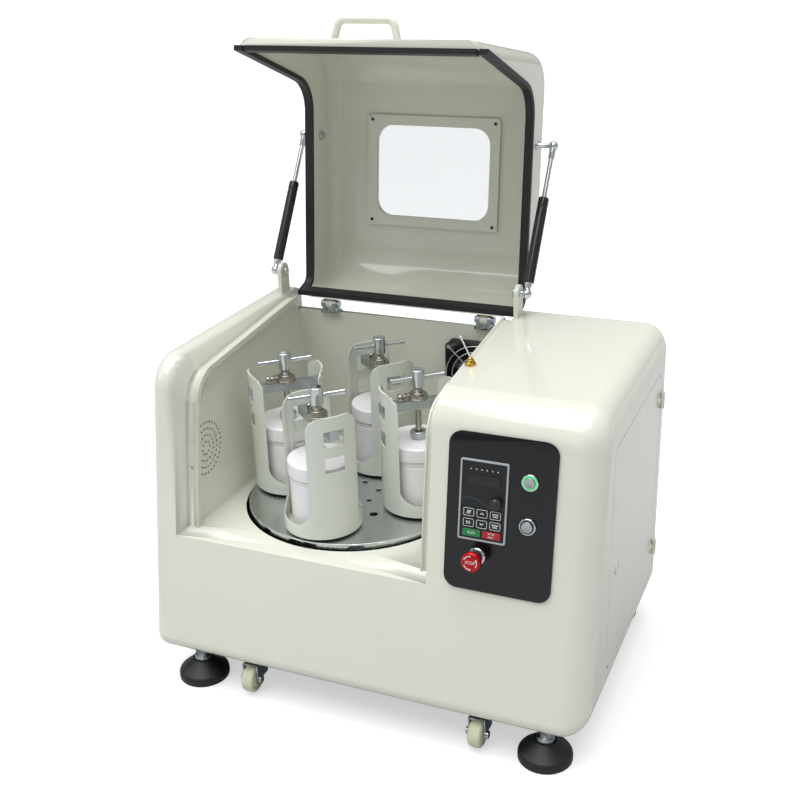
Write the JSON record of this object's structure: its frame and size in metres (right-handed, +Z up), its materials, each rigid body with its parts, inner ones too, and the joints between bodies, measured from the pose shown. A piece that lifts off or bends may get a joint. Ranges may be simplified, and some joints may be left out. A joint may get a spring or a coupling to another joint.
{
  "type": "planetary ball mill",
  "caption": "Floor-standing planetary ball mill: clamped jars on a turning disc in a chamber with a hinged windowed lid, beside a console with a sloping control panel.",
  "frame": {"origin": "on the floor, under the middle of the machine's box with its lid open", "axes": "+X to the console side, +Y to the back, +Z up"},
  "size_m": [0.743, 0.6624, 1.0418],
  "materials": {
    "enamel": "cream gloss enamel",
    "rubber": "black rubber",
    "steel": "ground steel",
    "chrome": "bright chrome",
    "pane": "clear sheet",
    "black": "black",
    "black_paint": "black enamel",
    "nylon": "cream nylon",
    "ceramic": "white jar",
    "red": "red anodised",
    "zinc": "zinc plated",
    "brass": "bright brass",
    "cast": "grey paint"
  },
  "bodies": {
    "root": {"case_shell": "enamel", "base_frame": "black_paint", "drive_deck": "zinc", "bearing_housing": "cast", "motor": "cast", "drive_belt": "rubber", "lid_brackets": "enamel", "control_panel": "black", "keypad": "black", "button_bezels": "chrome", "stop_base": "chrome", "levelling_feet": "rubber", "castor_plates": "zinc", "castor_forks_rear": "zinc", "door_hinges": "zinc", "fan_frame": "black_paint", "lid_switch": "brass"},
    "turntable": {"main_shaft": "cast", "turning_disc": "steel", "planet_belts": "rubber"},
    "motor_rotor": {"motor_pulley": "cast"},
    "lid": {"lid_shell": "enamel", "lid_seal": "rubber", "lid_handle": "enamel", "window_pane": "pane", "window_frame": "enamel", "hinge_lugs": "enamel"},
    "door": {"side_door": "enamel"},
    "door_lock": {"door_lock_plug": "chrome"},
    "fan": {"fan_rotor": "black"},
    "knob": {"speed_knob": "black"},
    "button_upper": {"button_cap_upper": "steel"},
    "button_lower": {"button_cap_lower": "steel"},
    "stop_button": {"stop_head": "red"},
    "spring_cylinder_left": {"spring_cylinder_left": "black_paint"},
    "spring_rod_left": {"spring_rod_left": "chrome"},
    "spring_cylinder_right": {"spring_cylinder_right": "black_paint"},
    "spring_rod_right": {"spring_rod_right": "chrome"},
    "station_1": {"pot_carrier_1": "enamel", "jar_1": "ceramic"},
    "clamp_foot_1": {"clamp_foot_1": "steel"},
    "clamp_screw_1": {"clamp_screw_1": "chrome"},
    "station_2": {"pot_carrier_2": "enamel", "jar_2": "ceramic"},
    "clamp_foot_2": {"clamp_foot_2": "steel"},
    "clamp_screw_2": {"clamp_screw_2": "chrome"},
    "station_3": {"pot_carrier_3": "enamel", "jar_3": "ceramic"},
    "clamp_foot_3": {"clamp_foot_3": "steel"},
    "clamp_screw_3": {"clamp_screw_3": "chrome"},
    "station_4": {"pot_carrier_4": "enamel", "jar_4": "ceramic"},
    "clamp_foot_4": {"clamp_foot_4": "steel"},
    "clamp_screw_4": {"clamp_screw_4": "chrome"},
    "castor_wheel_1": {"castor_wheel_1": "nylon"},
    "castor_fork_left": {"castor_fork_left": "zinc"},
    "castor_wheel_2": {"castor_wheel_2": "nylon"},
    "castor_fork_right": {"castor_fork_right": "zinc"},
    "castor_wheel_3": {"castor_wheel_3": "nylon"},
    "castor_wheel_4": {"castor_wheel_4": "nylon"}
  },
  "joints": [
    {"name": "lid_hinge", "type": "hinge", "parent": "root", "child": "lid", "pos_m": [-0.1075, 0.16479, 0.524], "axis": [1, 0, 0], "range_deg": [0, 101.5]},
    {"name": "spring_swing_left", "type": "hinge", "parent": "root", "child": "spring_cylinder_left", "pos_m": [-0.3455, 0.12479, 0.592], "axis": [1, 0, 0], "range_deg": [0, 129.38]},
    {"name": "spring_stroke_left", "type": "slide", "parent": "spring_cylinder_left", "child": "spring_rod_left", "axis": [0, 0.5423, 0.8402], "range_m": [-0.001, 0.00294]},
    {"name": "spring_swing_right", "type": "hinge", "parent": "root", "child": "spring_cylinder_right", "pos_m": [0.1305, 0.12479, 0.592], "axis": [1, 0, 0], "range_deg": [0, 129.38]},
    {"name": "spring_stroke_right", "type": "slide", "parent": "spring_cylinder_right", "child": "spring_rod_right", "axis": [0, 0.5423, 0.8402], "range_m": [-0.001, 0.00294]},
    {"name": "disc_spin", "type": "hinge", "parent": "root", "child": "turntable", "pos_m": [-0.1075, -0.07521, 0.276], "axis": [0, 0, 1], "continuous": true},
    {"name": "motor_spin", "type": "hinge", "parent": "root", "child": "motor_rotor", "pos_m": [0.2325, -0.07521, 0.15], "axis": [0, 0, 1], "continuous": true},
    {"name": "station_spin_1", "type": "hinge", "parent": "turntable", "child": "station_1", "pos_m": [-0.1075, -0.19521, 0.28], "axis": [0, 0, 1], "continuous": true},
    {"name": "clamp_lift_1", "type": "slide", "parent": "station_1", "child": "clamp_foot_1", "axis": [0, 0, 1], "range_m": [0, 0.01]},
    {"name": "clamp_turn_1", "type": "hinge", "parent": "clamp_foot_1", "child": "clamp_screw_1", "pos_m": [-0.1075, -0.19521, 0.516], "axis": [0, 0, 1], "range_deg": [-6, 912]},
    {"name": "station_spin_2", "type": "hinge", "parent": "turntable", "child": "station_2", "pos_m": [0.0125, -0.07521, 0.28], "axis": [0, 0, 1], "continuous": true},
    {"name": "clamp_lift_2", "type": "slide", "parent": "station_2", "child": "clamp_foot_2", "axis": [0, 0, 1], "range_m": [0, 0.01]},
    {"name": "clamp_turn_2", "type": "hinge", "parent": "clamp_foot_2", "child": "clamp_screw_2", "pos_m": [0.0125, -0.07521, 0.516], "axis": [0, 0, 1], "range_deg": [-6, 912]},
    {"name": "station_spin_3", "type": "hinge", "parent": "turntable", "child": "station_3", "pos_m": [-0.1075, 0.04479, 0.28], "axis": [0, 0, 1], "continuous": true},
    {"name": "clamp_lift_3", "type": "slide", "parent": "station_3", "child": "clamp_foot_3", "axis": [0, 0, 1], "range_m": [0, 0.01]},
    {"name": "clamp_turn_3", "type": "hinge", "parent": "clamp_foot_3", "child": "clamp_screw_3", "pos_m": [-0.1075, 0.04479, 0.516], "axis": [0, 0, 1], "range_deg": [-6, 912]},
    {"name": "station_spin_4", "type": "hinge", "parent": "turntable", "child": "station_4", "pos_m": [-0.2275, -0.07521, 0.28], "axis": [0, 0, 1], "continuous": true},
    {"name": "clamp_lift_4", "type": "slide", "parent": "station_4", "child": "clamp_foot_4", "axis": [0, 0, 1], "range_m": [0, 0.01]},
    {"name": "clamp_turn_4", "type": "hinge", "parent": "clamp_foot_4", "child": "clamp_screw_4", "pos_m": [-0.2275, -0.07521, 0.516], "axis": [0, 0, 1], "range_deg": [-6, 912]},
    {"name": "castor_swivel_left", "type": "hinge", "parent": "root", "child": "castor_fork_left", "pos_m": [-0.2005, -0.28021, 0.056], "axis": [0, 0, 1], "continuous": true},
    {"name": "castor_roll_1", "type": "hinge", "parent": "castor_fork_left", "child": "castor_wheel_1", "pos_m": [-0.2005, -0.30321, 0.0265], "axis": [1, 0, 0], "continuous": true},
    {"name": "castor_swivel_right", "type": "hinge", "parent": "root", "child": "castor_fork_right", "pos_m": [0.1935, -0.28021, 0.056], "axis": [0, 0, 1], "continuous": true},
    {"name": "castor_roll_2", "type": "hinge", "parent": "castor_fork_right", "child": "castor_wheel_2", "pos_m": [0.1935, -0.30321, 0.0265], "axis": [1, 0, 0], "continuous": true},
    {"name": "castor_roll_3", "type": "hinge", "parent": "root", "child": "castor_wheel_3", "pos_m": [-0.2005, 0.15279, 0.0265], "axis": [1, 0, 0], "continuous": true},
    {"name": "castor_roll_4", "type": "hinge", "parent": "root", "child": "castor_wheel_4", "pos_m": [0.1935, 0.15279, 0.0265], "axis": [1, 0, 0], "continuous": true},
    {"name": "door_swing", "type": "hinge", "parent": "root", "child": "door", "pos_m": [0.368, 0.11479, 0.299], "axis": [0, 0, 1], "range_deg": [0, 105]},
    {"name": "lock_turn", "type": "hinge", "parent": "door", "child": "door_lock", "pos_m": [0.3645, -0.16521, 0.275], "axis": [1, 0, 0], "range_deg": [0, 90]},
    {"name": "fan_spin", "type": "hinge", "parent": "root", "child": "fan", "pos_m": [0.0365, 0.15279, 0.424], "axis": [0, 1, 0], "continuous": true},
    {"name": "knob_turn", "type": "hinge", "parent": "root", "child": "knob", "pos_m": [0.2145, -0.28057, 0.41185], "axis": [0, -0.9877, 0.1564], "range_deg": [-140, 140]},
    {"name": "button_press_upper", "type": "slide", "parent": "root", "child": "button_upper", "axis": [0, 0.9877, -0.1564], "range_m": [0, 0.0025], "stiffness_N_per_m": 300, "springref_m": -0.003},
    {"name": "button_press_lower", "type": "slide", "parent": "root", "child": "button_lower", "axis": [0, 0.9877, -0.1564], "range_m": [0, 0.0025], "stiffness_N_per_m": 300, "springref_m": -0.003},
    {"name": "stop_press", "type": "slide", "parent": "root", "child": "stop_button", "axis": [0, 0.9877, -0.1564], "range_m": [0, 0.004], "stiffness_N_per_m": 500, "springref_m": -0.003}
  ],
  "couplings": [
    {"joint": "spring_swing_left", "follows": "lid_hinge", "ratio": 1.2648},
    {"joint": "spring_stroke_left", "follows": "lid_hinge", "m_per_rad": 0.0010944},
    {"joint": "spring_swing_right", "follows": "lid_hinge", "ratio": 1.2648},
    {"joint": "spring_stroke_right", "follows": "lid_hinge", "m_per_rad": 0.0010944},
    {"joint": "motor_spin", "follows": "disc_spin", "ratio": 3},
    {"joint": "station_spin_1", "follows": "disc_spin", "ratio": -2},
    {"joint": "clamp_turn_1", "follows": "clamp_lift_1", "rad_per_m": 1570.8},
    {"joint": "station_spin_2", "follows": "disc_spin", "ratio": -2},
    {"joint": "clamp_turn_2", "follows": "clamp_lift_2", "rad_per_m": 1570.8},
    {"joint": "station_spin_3", "follows": "disc_spin", "ratio": -2},
    {"joint": "clamp_turn_3", "follows": "clamp_lift_3", "rad_per_m": 1570.8},
    {"joint": "station_spin_4", "follows": "disc_spin", "ratio": -2},
    {"joint": "clamp_turn_4", "follows": "clamp_lift_4", "rad_per_m": 1570.8}
  ]
}
